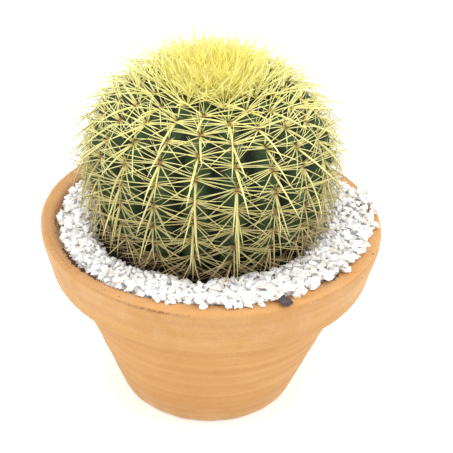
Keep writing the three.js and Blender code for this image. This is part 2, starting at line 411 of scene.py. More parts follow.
TERRACOTTA = terracotta_look()
STONE = stone_look()
SOIL = soil_look("potting_soil", (20, 15, 14), (42, 33, 30), (74, 60, 50))
DRY_SOIL = soil_look("dry_soil", (58, 36, 24), (86, 56, 36), (120, 82, 52))
SKIN = skin_look()
OLD_WOOL = shade(112, 84, 66)
AREOLE_FELT = wool_look("areole_felt", shade(200, 172, 106), shade(138, 106, 64), OLD_WOOL)
CROWN_WOOL = wool_look("crown_wool", shade(240, 214, 112), shade(196, 158, 64), OLD_WOOL)
BARK = bark_look()
STRAW = straw_look()
SPINE = spine_look()


# ---- Pot ----

POT_SEGMENTS = 320
POT_SPACING = 2.2
FLOOR_TOP = 12
RIM_INNER_RADIUS = 125.0
RIM_SAG = 3
RIM_PULL = 1.5
POT_LEAN = 0.9
BACK_OF_POT = math.radians(80)
# Patches of dirt round the rim's outer edge, its inner lip and its top: how dark each one is,
# its middle and its width in degrees.
EDGE_DIRT = [(1.0, -107, 11), (0.35, -122, 12), (0.35, -50, 26), (0.2, -20, 20)]
LIP_DIRT = [(0.8, -143, 26), (0.5, -165, 25), (0.6, -38, 16), (0.3, 60, 60)]
TOP_DIRT = [(0.4, -150, 30)]


def wall_radius(angle):
    """The inner edge of the rim, which is worn back at the front left."""
    worn_at, worn_width, worn_depth = -135, 30, 4.2
    away = (np.degrees(angle) - worn_at + 180) % 360 - 180
    return RIM_INNER_RADIUS + worn_depth * np.exp(-((away / worn_width) ** 2))


def pot_profile():
    """The pot's outline, from the drain hole out over the foot, up, over the rim and back in."""
    outer = [
        (10, 1.5),
        (11.5, 0),
        *arc((70.5, 4.5), 4.5, -90, -20, 6),
        (116.2, 112),
        *arc((120.2, 113.2), 4, 163, 100, 4),
        *arc((128.2, 121.2), 4, -80, -8, 5),
        (139.0, 150),
        *arc((135.7, 156), 4, 10, 90, 12),
        *arc((127.8, 157.2), 2.8, 90, 176, 8),
    ]
    inner = [(123.4, 150), (107.5, COLLAR_FOOT_Z + 2), (107, COLLAR_FOOT_Z)]
    inner += [(65, FLOOR_TOP), (10, FLOOR_TOP), (10, 1.5)]
    return refined(outer + inner, POT_SPACING)


def thrown(points):
    """The pot's points with turning marks, grit, a worn lip, and a sag and a lean."""
    radius = np.hypot(points[:, 0], points[:, 1])
    z = points[:, 2]
    heights = [0, COLLAR_FOOT_Z, COLLAR_FOOT_Z + 1, POT_HEIGHT]
    inside_wall = np.interp(z, heights, [70, 111, 126, 131])
    outside = smoothstep(0.5, 6, z) * (radius > 70) * (radius > inside_wall)
    # Turning marks: a wave with a finer one over it, fainter on the collar.
    turning = np.sin(z * 0.62 + 1.6 * np.sin(z * 0.13)) * 0.3 + np.sin(z * 1.7 + 1.3) * 0.06
    marks = turning * smoothstep(COLLAR_FOOT_Z, 105, z) + 0.35 * turning * (z > COLLAR_FOOT_Z)
    wander = fractal(points * [0.6, 0.6, 3], 60, 2) * 0.5
    grit = fractal(points, 3, 3) * 0.07
    new_radius = radius + outside * marks + wander * smoothstep(3, 20, z) + grit
    azimuth = np.arctan2(points[:, 1], points[:, 0])
    lip = smoothstep(135, 126, radius) * smoothstep(140, 150, z) * (radius < 135)
    new_radius += lip * (wall_radius(azimuth) - RIM_INNER_RADIUS)
    back = smoothstep(-0.1, 0.9, np.cos(azimuth - BACK_OF_POT))
    new_radius -= RIM_PULL * back * smoothstep(100, 150, z)
    scale = new_radius / radius
    moved = points * np.stack([scale, scale, np.ones_like(scale)], -1)
    moved[:, 2] += 0.35 * fractal(points, 45, 2) * smoothstep(100, 155, z)
    moved[:, 2] -= RIM_SAG * back * smoothstep(120, 155, z)
    moved[:, 0] -= POT_LEAN * smoothstep(60, POT_HEIGHT, z)
    return moved


def pot_stains(points):
    """How dirty and how close to the rim's top the pot is at each of its points, and how pale:
    bleached at the foot, with painted sheen on the collar.
    """
    radius = np.hypot(points[:, 0], points[:, 1])
    z = points[:, 2]
    degrees = np.degrees(np.arctan2(points[:, 1], points[:, 0]))

    def patches(table, everywhere):
        dirt = everywhere
        for amount, middle, width in table:
            away = np.abs((degrees - middle + 180) % 360 - 180)
            dirt = dirt + amount * np.clip(1.2 - away / width, 0, 1)
        return np.clip(dirt, 0, 1)

    edge = np.exp(-(((z - 157.4) / 0.9) ** 2)) * (radius > 135)
    lip = smoothstep(131, 128, radius) * smoothstep(156, 159, z)
    top = smoothstep(154, 159, z) * (radius > 124)
    dirt = edge * patches(EDGE_DIRT, 0) + lip * patches(LIP_DIRT, 0.35)
    dirt += top * patches(TOP_DIRT, 0.15)
    at_foot = 0.8 * smoothstep(7, 0, z) + 0.25 * smoothstep(30, 5, z)
    # Painted sheen: the collar is made paler, as if lit at a grazing angle.
    collar_painted_sheen = 0.16 * smoothstep(112, 138, z)
    return {"dirt": np.clip(dirt, 0, 1), "rim": top, "bloom_and_painted_sheen": at_foot + collar_painted_sheen}


def make_pot():
    profile = pot_profile()
    # The last point closes onto the first, so its ring is left out.
    points = turned(profile[:-1], POT_SEGMENTS).reshape(-1, 3)
    faces = closed_quads(len(profile) - 1, POT_SEGMENTS)
    stains = pot_stains(points)
    pot = add_piece("terracotta_pot", thrown(points), [faces], TERRACOTTA, attributes=stains)
    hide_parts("pot")


# ---- Stem ----

STEM_ROWS = 150
STEM_STEPS_PER_RIB = 20
RIB_DEPTH = 16
AREOLE_SPACING = 17
FIRST_AREOLE_ARC = 34
LAST_AREOLE_ARC = 222
NOTCH_DEPTH = 1.3


def crest(t):
    """The radius and height of the rib crests, at t from pi/2 at the crown to -pi/2."""
    rise = np.where(np.sin(t) > 0, ABOVE_WAIST, BELOW_WAIST)
    radius = STEM_RADIUS * np.abs(np.cos(t)) ** BARREL_POWER
    return radius, WAIST_Z + np.sign(t) * rise * np.abs(np.sin(t)) ** BARREL_POWER


FINE_T = np.linspace(np.pi / 2, -np.pi / 2, 4001)
FINE_RADIUS, FINE_Z = crest(FINE_T)
FINE_ARC = np.concatenate([[0], np.cumsum(np.hypot(np.diff(FINE_RADIUS), np.diff(FINE_Z)))])


def along_crest(arc_length):
    """Radius, height and downhill direction at a distance from the crown along a crest."""

    def spot(distance):
        radius = np.interp(distance, FINE_ARC, FINE_RADIUS)
        return np.stack([radius, np.interp(distance, FINE_ARC, FINE_Z)], -1)

    here = spot(arc_length)
    step = 1.5
    down = spot(np.asarray(arc_length) + step) - spot(np.maximum(np.asarray(arc_length) - step, 0))
    return here[..., 0], here[..., 1], unit(down)


def areole_arcs(rib):
    """Distances from the crown to a rib's areoles. Each rib starts a little later than the last."""
    start = FIRST_AREOLE_ARC + AREOLE_SPACING * ((0.18 + 0.42 * rib) % 1)
    return np.concatenate([[start - 11], np.arange(start, LAST_AREOLE_ARC, AREOLE_SPACING)])


def make_stem():
    around = RIBS * STEM_STEPS_PER_RIB
    # The rings are evenly spaced along a crest. Both poles are single vertices.
    arcs = FINE_ARC[-1] * np.linspace(0, 1, STEM_ROWS + 1)[1:-1]
    radius, z, down = along_crest(arcs)
    rib_place = np.arange(around) / STEM_STEPS_PER_RIB
    from_crest = np.abs(rib_place - np.round(rib_place)) * 2
    # Sharp valleys and a narrow rounded crest.
    roundness = 0.03
    valley = np.sqrt(from_crest**2 + roundness) - math.sqrt(roundness)
    valley = (valley / valley.max()) ** 0.92
    depth = RIB_DEPTH * (radius / STEM_RADIUS) ** 1.4
    notch = np.zeros((len(arcs), around))
    for rib in range(RIBS):
        away = np.abs(((rib_place - rib + RIBS / 2) % RIBS) - RIBS / 2)
        on_crest = np.exp(-((away / 0.16) ** 2))
        for place in areole_arcs(rib):
            notch += np.exp(-(((arcs[:, None] - place) / 4.5) ** 2)) * on_crest
    inset = depth[:, None] * valley + NOTCH_DEPTH * notch
    out = np.stack([-down[:, 1], down[:, 0]], -1)
    ring_radius = np.maximum(radius[:, None] - inset * np.abs(out[:, :1]), 0.4)
    ring_z = z[:, None] - inset * out[:, 1:] * 0.45
    points = polar(ring_radius, FIRST_RIB + full_turn(around), ring_z).reshape(-1, 3)
    points += 0.25 * fractal(points, 9, 3)[:, None] * unit(points - [0, 0, WAIST_Z])
    poles = [[0, 0, FINE_Z[0] - 1.5], [0, 0, FINE_Z[-1]]]
    points = np.vstack([points, poles]) + [STEM_X, 0, 0]
    rings = len(arcs)
    top = fan(rings * around, 0, around)
    bottom = fan(rings * around + 1, (rings - 1) * around, around)[:, [0, 2, 1]]
    sides = ring_quads(rings, around)[:, ::-1]
    # Painted shade for the valleys between the ribs, darkest at their bottoms.
    painted_valley_shade = (np.broadcast_to(valley, (rings, around)) ** 1.3).ravel()
    young = np.repeat(smoothstep(45, 12, arcs), around)
    at_poles = [0.0, 0.0]
    attributes = {"valley": np.append(painted_valley_shade, at_poles), "crown": np.append(young, at_poles)}
    stem = add_piece("barrel_stem", points, [sides, top, bottom], SKIN, attributes=attributes)
    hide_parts("cactus_stem")


# ---- Spines ----

SPINE_SIDES = 6
SPINE_STEPS = 9
YOUNG_SPINES = 1450
CROWN_ARC = 29


def spine_piece(name, bases, aims, bends, lengths, widths, ages_and_painted_shade, tints, map_rows=1):
    """A piece of curved, tapered spines.

    aims are unit directions at the base. bends are added to them towards the tip.
    The bake map holds the spines as strips, side by side in map_rows rows.
    """
    count = len(bases)
    along = np.linspace(0, 1, SPINE_STEPS)
    centres = bases[:, None] + lengths[:, None, None] * (
        along[:, None] * aims[:, None] + 0.5 * along[:, None] ** 2 * bends[:, None]
    )
    heading = unit(aims[:, None] + along[:, None] * bends[:, None])
    reference = np.where(np.abs(aims[:, 2:]) > 0.9, [[1.0, 0, 0]], [[0, 0, 1.0]])
    side = unit(np.cross(heading, reference[:, None]))
    across = np.cross(side, heading)
    # Spines swell just above the base, keep most of their width, then run to a point.
    girth = (1 - along**1.6) ** 0.75 * (1 + 0.15 * np.exp(-((along / 0.06) ** 2)))
    girth[-1] = 0.0
    radius = 0.5 * widths[:, None] * np.maximum(girth, 0.05)
    turn = full_turn(SPINE_SIDES)
    rings = centres[:, :, None] + radius[:, :, None, None] * (
        np.cos(turn)[:, None] * side[:, :, None] + 0.8 * np.sin(turn)[:, None] * across[:, :, None]
    )
    per_spine = SPINE_STEPS * SPINE_SIDES
    first = np.arange(count)[:, None, None] * per_spine
    tubes = (first + ring_quads(SPINE_STEPS, SPINE_SIDES)).reshape(-1, 4)
    foot = first[:, 0] + np.arange(SPINE_SIDES)[::-1]
    tip = first[:, 0] + per_spine - SPINE_SIDES + np.arange(SPINE_SIDES)
    growth = np.ones((count, SPINE_STEPS, SPINE_SIDES, 4))
    growth[..., 0] = along[:, None]
    growth[..., 1] = ages_and_painted_shade[:, None, None]
    growth[..., 2] = tints[:, None, None]
    number = np.arange(count)[:, None, None]
    across_map = number // map_rows + 0.1 + 0.8 * turn / (2 * np.pi)
    # The sine gives a spine's flat ends some width on the map too.
    up_map = number % map_rows + 0.04 + 0.92 * along[:, None] + 0.03 * np.sin(turn)
    bake_map = np.zeros((count, SPINE_STEPS, SPINE_SIDES, 2))
    bake_map[..., 0] = across_map / math.ceil(count / map_rows)
    bake_map[..., 1] = up_map / map_rows
    faces = [tubes, foot, tip]
    attributes = {"growth": growth.reshape(-1, 4)}
    bake_map = bake_map.reshape(-1, 2)
    return add_piece(name, rings.reshape(-1, 3), faces, SPINE, True, attributes, bake_map)


# A kind of spine: where it points (out of the areole, down the rib, to the side), how it bends,
# its length and width, and how likely it is to have grown.
Kind = namedtuple("Kind", "aim bend length width chance")
RADIAL_KINDS = [
    Kind((0.42, -0.75, 0.50), -0.15, 16, 0.75, 0.5),
    Kind((0.38, -0.30, 1.00), -0.25, 25, 0.85, 0.6),
    Kind((0.30, -0.12, 1.00), -0.3, 32, 1.0, 0.85),
    Kind((0.36, 0.00, 1.00), -0.3, 34, 1.1, 1.0),
    Kind((0.28, 0.10, 1.00), -0.3, 33, 1.05, 1.0),
    Kind((0.34, 0.22, 1.00), -0.3, 32, 1.0, 0.75),
    Kind((0.40, 0.70, 0.90), -0.25, 34, 1.1, 0.85),
    Kind((0.42, 1.00, 0.40), -0.25, 24, 0.9, 0.3),
    Kind((0.85, 0.15, 0.80), -0.1, 27, 0.75, 0.75),
]
CENTRAL_KINDS = [
    Kind((0.48, 0.95, 0.05), -0.42, 41, 2.0, 1.0),
    Kind((0.60, 0.85, 0.22), -0.35, 33, 1.5, 0.5),
    Kind((0.80, -0.20, -0.45), -0.2, 26, 1.2, 0.3),
    Kind((0.75, -0.60, 0.10), -0.15, 21, 1.1, 0.5),
    Kind((0.95, -0.30, 0.35), -0.1, 31, 0.7, 0.8),
    Kind((0.90, -0.60, -0.2), -0.1, 29, 0.65, 0.8),
]
AREOLE_SINK = 0.8
# Where spines change, as distances along a rib: near the crown they stand out from it and up,
# near the foot they are fewer, straighter and thinner.
GROWING_ARCS = (58, 24)
UPRIGHT_ARCS = (125, 30)
OLD_ARCS = (140, 215)
# Spine tips stay above these heights: over the stones, and over the soil nearer the stem.
TIP_ABOVE_STONES = 156.0
TIP_ABOVE_SOIL = 149.5
STONES_START = 80


def areole_frames(rib, arcs):
    """Where a rib's areoles are, with unit vectors out of the skin, down the rib and sideways."""
    radius, z, slope = along_crest(arcs)
    angle = FIRST_RIB + rib * 2 * np.pi / RIBS
    around = np.array([math.cos(angle), math.sin(angle)])
    down = np.column_stack([slope[:, :1] * around, slope[:, 1]])
    side = np.tile([-around[1], around[0], 0.0], (len(arcs), 1))
    out = np.cross(down, side)
    # At the foot, where the skin faces down more than out, this turns the direction over.
    out *= np.sign((out * [*around, 1.0]).sum(1))[:, None]
    at = polar(radius, angle, z) + [STEM_X, 0, 0] - AREOLE_SINK * out
    return at, out, down, side


def rib_spines(rib, random):
    """The curves of one rib's spines, ready for spine_piece."""
    arcs = areole_arcs(rib)
    at, out, down, side = areole_frames(rib, arcs)
    rows = []
    for i, place in enumerate(arcs):
        # Spines are shorter where the barrel is narrow.
        girth = min(1.0, np.interp(place, FINE_ARC, FINE_RADIUS) / STEM_RADIUS)
        reach = 0.72 + 0.28 * girth
        growing = smoothstep(*GROWING_ARCS, place)
        upright = 0.8 * smoothstep(*UPRIGHT_ARCS, place)
        old = smoothstep(*OLD_ARCS, place)
        # Age rises down the stem. The darker colour it gives old spines is partly real weathering
        # and partly painted shade.
        age = 0.12 + 0.62 * smoothstep(30, 215, place) + 0.3 * smoothstep(170, 215, place)
        age = np.clip(age, 0, 1)
        kinds = [(kind, hand) for kind in RADIAL_KINDS for hand in (-1, 1)]
        kinds += [(kind, random.choice([-1, 1])) for kind in CENTRAL_KINDS]
        for kind, hand in kinds:
            if random.random() > kind.chance * (1 - 0.45 * old + 0.8 * growing):
                continue
            aim_out, aim_down, aim_side = kind.aim
            # The stoutest spines stray less.
            steady = 0.6 if kind.width > 1.5 else 1
            jitter = random.normal(0, 0.075 + 0.12 * growing, 3) * steady
            aim = (
                (aim_out + 0.75 * growing + 0.2 * old + jitter[0]) * out[i]
                + (aim_down - 0.4 * growing + jitter[1]) * down[i]
                + (aim_side * hand + jitter[2] * (1 + old)) * side[i]
            )
            aim[2] += upright * random.uniform(0, 1) * (1.6 if aim_out > 0.7 else 0.5)
            aim /= np.linalg.norm(aim)
            curl = kind.bend * (1 - 0.5 * growing - 0.4 * old) * random.uniform(0.3, 1.4)
            bend = curl * out[i] + random.normal(0, 0.07, 3)
            length = kind.length * reach * random.uniform(0.86, 1.1)
            if aim_down > 0.8:
                length *= 1.12 - 0.42 * smoothstep(100, 200, place)
            width = kind.width * (1 - 0.25 * old)
            # Each spine has its root on the side of the pad that it points to.
            root_down = np.clip(6 * aim_down, -2.6, 2.6) - 0.6
            root_side = 1.2 * hand * aim_side
            root = at[i] + root_down * down[i] + root_side * side[i]
            own_age = age + random.normal(0, 0.05)
            rows.append((root, aim, bend, length, width, own_age, random.random()))
    return [np.array(column) for column in zip(*rows)]


def keep_above_ground(bases, aims, bends, lengths):
    """Turns spines that would run into the stones up until their tips clear them."""
    for _ in range(12):
        tips = bases + lengths[:, None] * (aims + 0.5 * bends)
        reach = np.hypot(tips[:, 0], tips[:, 1])
        sunk = tips[:, 2] < np.where(reach > STONES_START, TIP_ABOVE_STONES, TIP_ABOVE_SOIL)
        if not sunk.any():
            break
        aims[sunk] = unit(aims[sunk] + [0, 0, 0.12])
        lengths[sunk] *= 0.985


def make_rib_spines(rib):
    random = np.random.default_rng(100 + rib)
    bases, aims, bends, lengths, widths, ages_and_painted_shade, tints = rib_spines(rib, random)
    keep_above_ground(bases, aims, bends, lengths)
    ages_and_painted_shade = np.clip(ages_and_painted_shade, 0, 1)
    name = f"spine_row_{rib + 1:02d}"
    piece = spine_piece(name, bases, aims, bends, lengths, widths, ages_and_painted_shade, tints)
    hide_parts(f"rib_{rib + 1:02d}_spines")


def make_crown():
    """The dense tuft of young spines, with wool between them."""
    random = np.random.default_rng(5)
    count = YOUNG_SPINES
    spread = np.sqrt(random.uniform(0, 1, count))
    angle = random.uniform(0, 2 * np.pi, count)
    radius, z, _ = along_crest(1 + CROWN_ARC * spread)
    around = np.stack([np.cos(angle), np.sin(angle), 0 * angle], -1)
    bases = around * radius[:, None] + np.stack([0 * z, 0 * z, z - 1.5], -1) + [STEM_X, 0, 0]
    # They lean outwards more towards the tuft's edge.
    lean = 0.05 + 0.42 * (radius / 32) ** 2
    tousled = random.normal(0, 1, (count, 3)) * [0.75, 0.75, 0.3]
    aims = unit(around * lean[:, None] + [0, 0, 0.85] + tousled)
    bends = random.normal(0, 0.16, (count, 3))
    lengths = (15 + 21 * random.uniform(0, 1, count) ** 2.2) * (1 - 0.1 * spread)
    widths = random.uniform(0.6, 1.1, count)
    ages_and_painted_shade = np.clip(random.normal(0.03, 0.06, count), 0, 1)
    tints = random.random(count)
    tuft = spine_piece("crown_tuft", bases, aims, bends, lengths, widths, ages_and_painted_shade, tints, map_rows=7)
    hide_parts("crown_spines")
    make_crown_wool(random)


def make_crown_wool(random):
    """The felted wool that the youngest spines stand in."""
    around = 96
    arcs = np.array([36, 35, 33, 30, 27, 24, 20, 16, 12, 8, 4, 1.0])
    radius, z, _ = along_crest(arcs)
    height = z + np.array([-5, -1.5, 0.6, 1.6, 2.2, 2.6, 3, 3, 3, 3, 3, 3])
    points = turned(np.stack([radius, height], -1), around).reshape(-1, 3) + [STEM_X, 0, 0]
    points[:, 2] += 0.9 * fractal(points, 3.5, 3) + random.normal(0, 0.18, len(points))
    rings = len(arcs)
    faces = [ring_quads(rings, around), end_caps(rings, around)]
    wool = add_piece("crown_wool", points, faces, CROWN_WOOL)


def make_areoles():
    """Felt pads under the spines, one mesh for them all."""
    random = np.random.default_rng(11)
    rings, around = 6, 10
    tilt = np.linspace(0.15, np.pi / 2 + 0.5, rings)[:, None]
    dome = polar(np.sin(tilt), full_turn(around), np.cos(tilt)).reshape(-1, 3)
    dome = np.vstack([dome, [[0, 0, 1]]])
    quads = ring_quads(rings, around)[:, ::-1]
    cap = fan(rings * around, 0, around)
    floor = (rings - 1) * around + np.arange(around)[None, ::-1]
    pads = Cluster()
    for rib in range(RIBS):
        arcs = areole_arcs(rib)
        at, out, down, side = areole_frames(rib, arcs)
        for i, place in enumerate(arcs):
            size = random.uniform(0.9, 1.15)
            shape = dome * [0.9 * size, 1.9 * size, 0.9 * size]
            shape *= 1 + random.uniform(-0.16, 0.16, (len(dome), 1))
            points = at[i] - 0.4 * out[i] + shape @ np.array([side[i], down[i], out[i]])
            age = np.clip((place - 30) / 150 + random.normal(0, 0.15), 0, 1)
            pads.add(points, quads, cap, floor, value=age)
    felt = pads.piece("areole_pads", AREOLE_FELT, "age", smooth=True)


# ---- Soil and stones ----

CHIP_CORNERS = 11
CHIP_REACH = (0.38, 0.6)
CHIP_PROPORTIONS = [1.3, 0.92, 0.7]
SOIL_CRUMBS = 1500
LOOSE_GRAINS = 28


def chip_shapes(count, random):
    """Rough stone shapes about 1 across: the convex hulls of scattered points."""
    shapes = []
    for _ in range(count):
        spots = unit(random.normal(size=(CHIP_CORNERS, 3)))
        spots *= random.uniform(*CHIP_REACH, (CHIP_CORNERS, 1))
        spots *= CHIP_PROPORTIONS
        hull = bmesh.new()
        for spot in spots:
            hull.verts.new(spot)
        bmesh.ops.convex_hull(hull, input=hull.verts)
        loose = [v for v in hull.verts if not v.link_faces]
        bmesh.ops.delete(hull, geom=loose, context="VERTS")
        bmesh.ops.triangulate(hull, faces=hull.faces)
        hull.verts.index_update()
        points = np.array([v.co for v in hull.verts])
        faces = np.array([[v.index for v in face.verts] for face in hull.faces])
        hull.free()
        shapes.append((points, faces))
    return shapes


def turn_matrix(random, tilt):
    """A random turn about Z after a random tilt."""
    yaw = Matrix.Rotation(random.uniform(0, 2 * math.pi), 3, "Z")
    axis = Vector((random.normal(), random.normal(), 0)).normalized()
    return np.array(yaw @ Matrix.Rotation(random.normal(0, tilt), 3, axis))


def random_chip(shapes, random, size, tilt=1.0):
    """The points and faces of one of the shapes, turned at random."""
    spots, triangles = shapes[random.integers(len(shapes))]
    return spots @ turn_matrix(random, tilt).T * size, triangles


class Heap:
    """A height map that stones are dropped onto."""

    CELL = 0.8
    HALF = 145

    def __init__(self, height):
        side = np.arange(-self.HALF, self.HALF + self.CELL, self.CELL)
        self.x, self.y = np.meshgrid(side, side, indexing="ij")
        self.z = height(self.x, self.y)

    def rest(self, x, y, reach, thickness):
        """The height at which a stone's middle comes to rest at x, y, and the cells it covers."""
        span = int(2 * reach / self.CELL) + 2
        lows = [int((place - reach + self.HALF) / self.CELL) for place in (x, y)]
        area = tuple(slice(low, low + span) for low in lows)
        away = ((self.x[area] - x) ** 2 + (self.y[area] - y) ** 2) / reach**2
        half = thickness * np.sqrt(np.clip(1 - away, 0, 1))
        under = away < 1
        return float((self.z[area] + half)[under].max()), area, half, under

    def add(self, middle, area, half, under):
        region = self.z[area]
        region[under] = np.maximum(region[under], (middle + half)[under])


def around_pot(angle, table):
    """A value that changes round the pot, from (degrees, value) pairs in order."""
    degrees = (np.degrees(angle) + 360) % 360
    turns, values = zip(*table)
    turns = np.array([turns[-1] - 360, *turns, turns[0] + 360])
    return np.interp(degrees, turns, [values[-1], *values, values[0]])


# How far in the stones reach, round the pot, as (degrees, radius).
INNER_EDGE = [
    (14, 84), (40, 85), (60, 83), (90, 85), (120, 84), (150, 88), (180, 92), (205, 96),
    (226, 94), (236, 90), (244, 87), (250, 84), (256, 88), (264, 89), (270, 85), (276, 81),
    (283, 82), (290, 79), (300, 82), (315, 81), (330, 84), (345, 83),
]
# How much higher or lower than usual the stones lie by the rim, as (degrees, height).
LEVEL = [
    (0, 3), (20, 4), (45, 2), (70, 0), (120, -0.5), (180, -0.5), (220, 0.5), (270, 1), (320, 1.5),
]
# The stones are dropped in two lots: how many are tried, and their smallest and largest size.
LOTS = [(7000, 6.6, 10.4), (2600, 3.8, 6.0)]
# Stones that have spilled onto the rim: the middle and the width of each patch in degrees, its
# nearest and furthest radius, and how many are tried.
SPILLS = [
    (10.5, 6, 122, 137.5, 80),
    (1, 10, 122, 127.5, 24),
    (-14, 10, 122, 130, 30),
    (-84, 26, 123, 131.5, 90),
    (-62, 18, 122, 129, 50),
    (-32, 18, 123, 130, 60),
    (-125, 22, 122, 127, 30),
    (95, 60, 122, 126, 24),
]
SPILL_SIZES = (5.2, 8.4)
SPILL_TOP = POT_HEIGHT + 8.5
RIM_EDGE = 138.5
STEM_FOOT_RADIUS = 74
OUT_OF_REACH = 400.0
# The stones lie this high over the soil at their inner edge, and rise this much more outwards.
EDGE_HEIGHT = 5.5
BED_RISE = 9


def bare_ground(x, y):
    """The soil and the rim. No stone can rest on the stem or beyond the rim's outer edge."""
    radius = np.hypot(x, y)
    # A stone may press a little way into the height map's stepped wall.
    inside = radius < wall_radius(np.arctan2(y, x)) + 1.3
    height = np.where(inside, SOIL_TOP + 0.3, POT_HEIGHT - 0.2)
    height = np.where(radius > RIM_EDGE, OUT_OF_REACH, height)
    return np.where(np.hypot(x - STEM_X, y) < STEM_FOOT_RADIUS, OUT_OF_REACH, height)


def fill_level(radius, angle):
    """The height that the stones are filled to."""
    inside = radius - around_pot(angle, INNER_EDGE)
    level = BED_RISE + around_pot(angle, LEVEL) * smoothstep(95, 118, radius)
    return SOIL_TOP + EDGE_HEIGHT + level * smoothstep(-1, 13, inside)


def make_stones():
    random = np.random.default_rng(42)
    shapes = chip_shapes(36, random)
    heap = Heap(bare_ground)
    loose = Cluster()

    def drop(radius, angle, top, sizes, tilt):
        """Lets a stone fall. It stays if it comes to rest below top."""
        x, y = radius * math.cos(angle), radius * math.sin(angle)
        spots, triangles = random_chip(shapes, random, random.uniform(*sizes), tilt)
        # Stones pack closer than their full height and width would let them.
        thickness = 0.8 * np.ptp(spots[:, 2]) / 2
        reach = 0.58 * np.hypot(spots[:, 0], spots[:, 1]).max()
        middle, area, half, under = heap.rest(x, y, reach, thickness)
        if middle + thickness <= top:
            heap.add(middle, area, half, under)
            loose.add(spots + [x, y, middle], triangles, value=random.random())

    for tries, *sizes in LOTS:
        for _ in range(tries):
            angle = random.uniform(0, 2 * np.pi)
            inner = around_pot(angle, INNER_EDGE) + 1
            outer = wall_radius(angle) - 1.5
            radius = math.sqrt(random.uniform(inner**2, outer**2))
            drop(radius, angle, fill_level(radius, angle), sizes, 0.6)
    for degrees, width, low, high, tries in SPILLS:
        for _ in range(tries):
            angle = math.radians(random.normal(degrees, width / 2))
            drop(random.uniform(low, high), angle, SPILL_TOP, SPILL_SIZES, 0.3)
    loose.add(*stone_bed(), value=0.3)
    stones = loose.piece("white_stones", STONE, "tint")
    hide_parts("gravel_bed")
    make_rim_chips(shapes, random)
    return heap


def stone_bed():
    """The lower stones, packed too close to tell apart: a bumpy ring under the loose ones."""
    around, across = 360, 26
    angles = full_turn(around)
    inner = around_pot(angles, INNER_EDGE) + 3
    outer = wall_radius(angles) - 0.8
    share = np.linspace(0, 1, across)[:, None]
    radius = inner + share * (outer - inner)
    z = fill_level(radius, angles) - 5.8 - 3 * smoothstep(0.85, 1, share)
    top = polar(radius, angles, z)
    top[..., 2] += np.random.default_rng(8).normal(0, 0.9, (across, around)) * (share < 1)
    bottom = top[[-1, 0]] * [1, 1, 0] + [0, 0, SOIL_TOP - 1.5]
    bottom[0, :, :2] *= 0.975
    points = np.concatenate([top, bottom]).reshape(-1, 3)
    quads = closed_quads(across + 2, around)[:, ::-1]
    return points, np.concatenate([quads[:, :3], quads[:, [2, 3, 0]]])


def make_rim_chips(shapes, random):
    """The six loose chips that the CAD model holds as solids, at the same places and sizes."""
    for number in range(1, 7):
        middle, size = cad_place(f"rim_chip_{number}")
        spots, triangles = shapes[number]
        spots = spots @ turn_matrix(random, 0.2).T
        spots = (spots - (spots.max(0) + spots.min(0)) / 2) / np.ptp(spots, axis=0) * size + middle
        tint = {"tint": np.full(len(spots), random.random())}
        chip = add_piece(f"spilled_chip_{number}", spots, [triangles], STONE, False, tint)
        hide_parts(f"rim_chip_{number}")


def make_soil():
    """The soil's whole body: it fills the pot, is lumpy on top and is hollow under the stem."""
    segments = 240
    seat_radius, seat_z, _ = along_crest(np.linspace(231, 283, 12))
    outline = [
        (0.5, FLOOR_TOP + 0.4),
        (64.2, FLOOR_TOP + 0.4),
        (106.5, COLLAR_FOOT_Z),
        (107.2, 121),
        (121.5, SOIL_TOP - 1.0),
        (120, SOIL_TOP),
        (STEM_FOOT_RADIUS, SOIL_TOP),
        *zip(seat_radius, seat_z - 1),
        (0.5, 127),
    ]
    outline = refined(outline, 2.0)
    points = turned(outline, segments).reshape(-1, 3)
    radius = np.hypot(points[:, 0], points[:, 1])
    upper = (points[:, 2] > SOIL_TOP - 2) * smoothstep(122, 119, radius)
    points[:, 2] += upper * (1.5 * fractal(points, 7, 4) + 0.6)
    points[:, 0] += STEM_X * smoothstep(100, 76, radius) * (points[:, 2] > 124)
    rings = len(outline)
    faces = [ring_quads(rings, segments), end_caps(rings, segments)]
    soil = add_piece("soil_body", points, faces, SOIL)
    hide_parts("potting_soil")


def make_soil_crumbs():
    """Loose crumbs on the soil between the stem and the stones."""
    random = np.random.default_rng(3)
    shapes = chip_shapes(12, random)
    crumbs = Cluster()
    for _ in range(SOIL_CRUMBS):
        angle = random.uniform(0, 2 * np.pi)
        radius = random.uniform(70, around_pot(angle, INNER_EDGE) + 3)
        size = 0.8 + 3.2 * random.random() ** 2.5
        spots, triangles = random_chip(shapes, random, size)
        centre = polar(radius, angle, SOIL_TOP + 0.6 + 0.25 * size) + [STEM_X * 0.7, 0, 0]
        crumbs.add(spots + centre, triangles)
    piece = crumbs.piece("soil_crumbs", SOIL)


